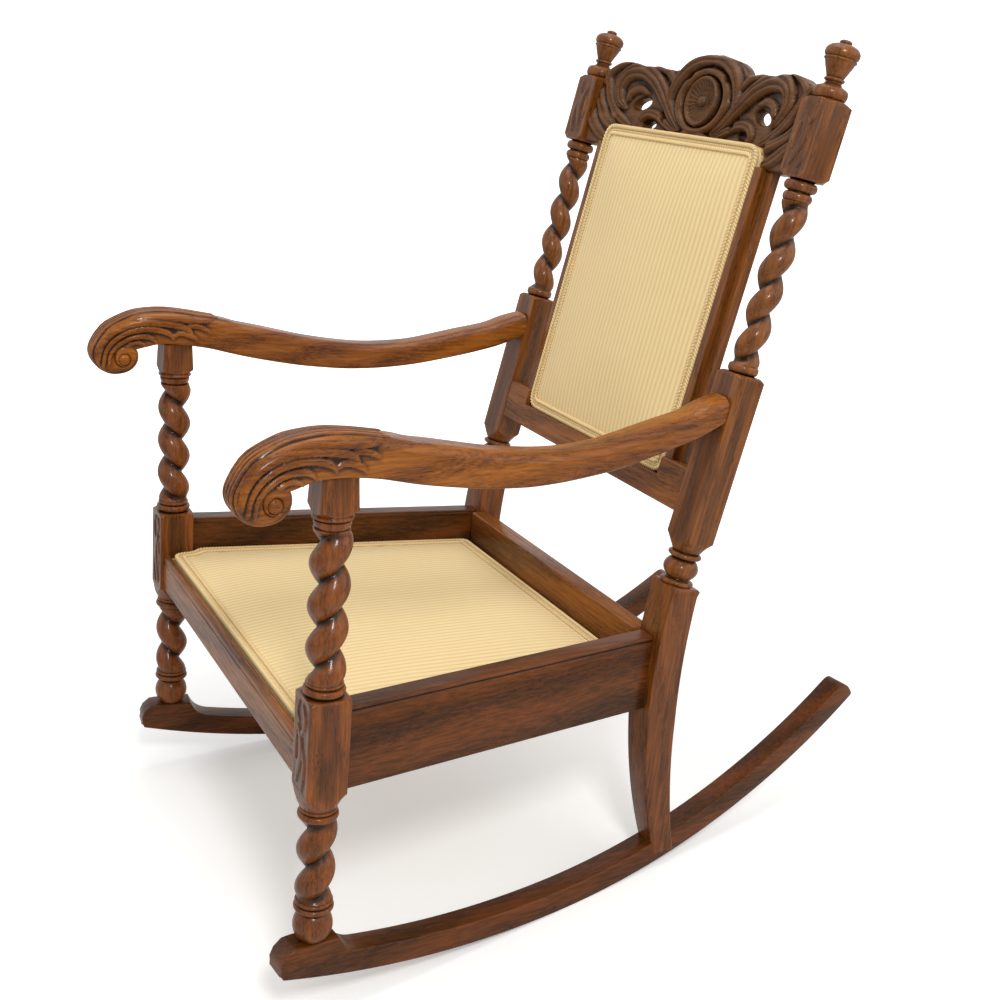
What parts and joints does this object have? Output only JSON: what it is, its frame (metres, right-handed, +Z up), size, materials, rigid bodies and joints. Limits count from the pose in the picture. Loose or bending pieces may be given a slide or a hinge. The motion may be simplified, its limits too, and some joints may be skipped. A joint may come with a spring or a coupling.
{
  "type": "rocking chair",
  "caption": "Rocking chair on curved runners, with twist-turned posts, scrolled arms, a carved crest rail, a padded back panel and a drop-in padded seat.",
  "frame": {"origin": "on the floor, under the middle of the chair's outline as it rests on its runners", "axes": "+X to the sitter's left, -Y the way the sitter faces, +Z up from the floor"},
  "size_m": [0.695, 0.9058, 1.04],
  "materials": {
    "show_wood": "brown stained oak under gloss shellac",
    "plain_wood": "bare beech, hidden frames, cleats and dowels",
    "ribbed_cloth": "ribbed gold-beige upholstery cloth over stuffing",
    "braid": "woven gimp braid",
    "jute": "woven jute webbing and lining cloth",
    "screw_steel": "plain steel"
  },
  "bodies": {
    "chair": {"left_rocker": "show_wood", "right_rocker": "show_wood", "left_front_post": "show_wood", "right_front_post": "show_wood", "left_rear_post": "show_wood", "right_rear_post": "show_wood", "left_arm": "show_wood", "right_arm": "show_wood", "left_finial": "show_wood", "right_finial": "show_wood", "front_rail": "show_wood", "back_rail": "show_wood", "left_side_rail": "show_wood", "right_side_rail": "show_wood", "crest_rail": "show_wood", "lower_back_rail": "show_wood", "left_back_stile": "show_wood", "right_back_stile": "show_wood", "panel_frame_left": "plain_wood", "panel_frame_right": "plain_wood", "panel_frame_top": "plain_wood", "panel_frame_bottom": "plain_wood", "back_webbing": "jute", "back_cushion": "ribbed_cloth", "back_border": "braid", "back_cloth": "jute", "left_cleat": "plain_wood", "right_cleat": "plain_wood", "back_cleat": "plain_wood", "corner_blocks": "plain_wood", "rail_dowels": "plain_wood", "back_dowels": "plain_wood", "arm_dowels": "plain_wood", "runner_screws": "screw_steel", "cleat_screws": "screw_steel", "block_screws": "screw_steel", "panel_screws": "screw_steel"},
    "seat": {"seat_frame_left": "plain_wood", "seat_frame_right": "plain_wood", "seat_frame_front": "plain_wood", "seat_frame_back": "plain_wood", "seat_webbing": "jute", "seat_cushion": "ribbed_cloth", "seat_border": "braid", "seat_dust_cloth": "jute"}
  },
  "joints": [
    {"name": "seat_lift", "type": "slide", "parent": "chair", "child": "seat", "axis": [0, 0.1271, 0.9919], "range_m": [0, 0.08]}
  ]
}
